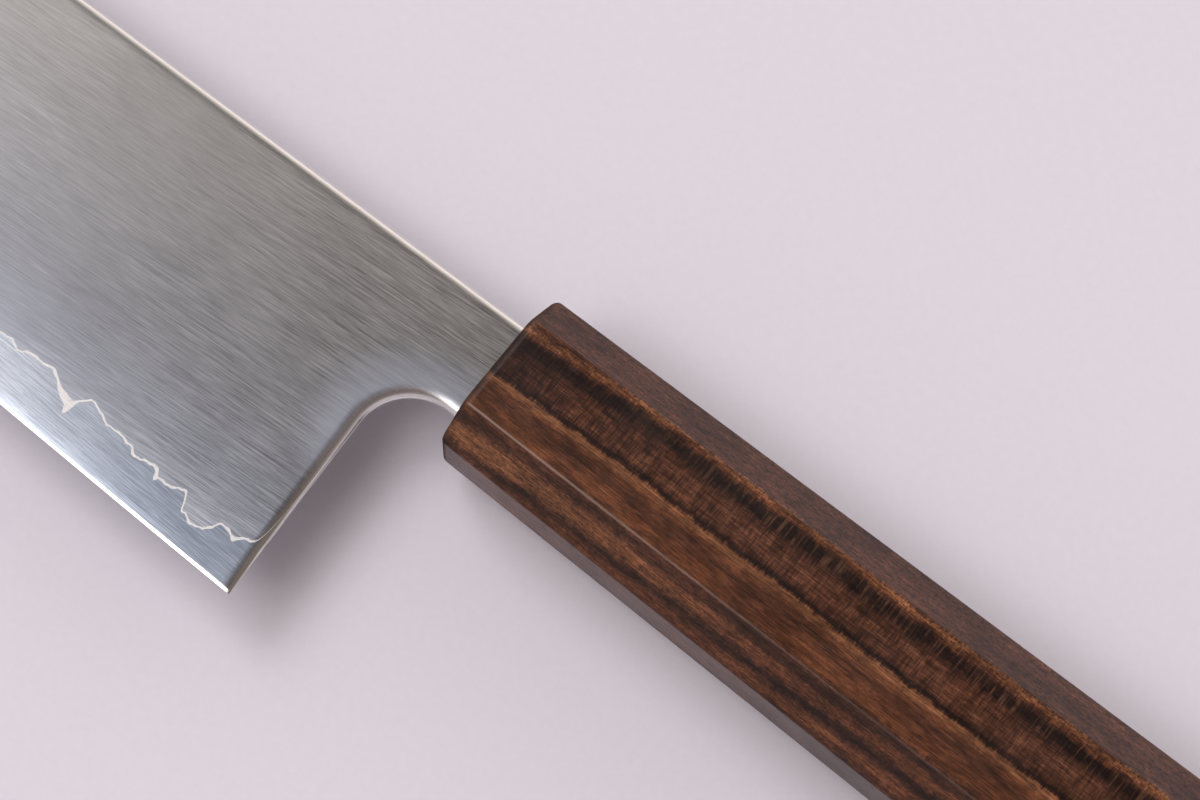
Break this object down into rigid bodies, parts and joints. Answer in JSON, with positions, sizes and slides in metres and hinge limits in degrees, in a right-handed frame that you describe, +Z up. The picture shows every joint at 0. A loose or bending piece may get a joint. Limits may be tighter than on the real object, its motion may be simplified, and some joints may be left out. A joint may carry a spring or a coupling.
{
  "type": "santoku kitchen knife",
  "caption": "Santoku kitchen knife with a laminated brushed-steel blade, wavy weld line above the edge, rounded choil and a dark wood octagonal handle.",
  "frame": {"origin": "under the middle of the knife's box, on the surface that the right side of the handle lies on", "axes": "+X from the tip to the butt of the handle, +Y from the cutting edge to the spine, +Z up out of the left face of the blade"},
  "size_m": [0.3104, 0.054, 0.0212],
  "materials": {
    "core_steel": "fine cool satin, with a polished bevel at the edge",
    "bond_foil": "bright warm line",
    "cladding_steel": "hairline satin along the blade, polished at the rounded spine and choil",
    "handle_wood": "dark oiled figured wood, low sheen",
    "bedding_resin": "dark resin, matt"
  },
  "bodies": {
    "root": {"core_steel": "core_steel", "left_bond_foil": "bond_foil", "right_bond_foil": "bond_foil", "left_cladding": "cladding_steel", "right_cladding": "cladding_steel", "handle_body": "handle_wood", "tang_bedding": "bedding_resin"}
  },
  "joints": []
}
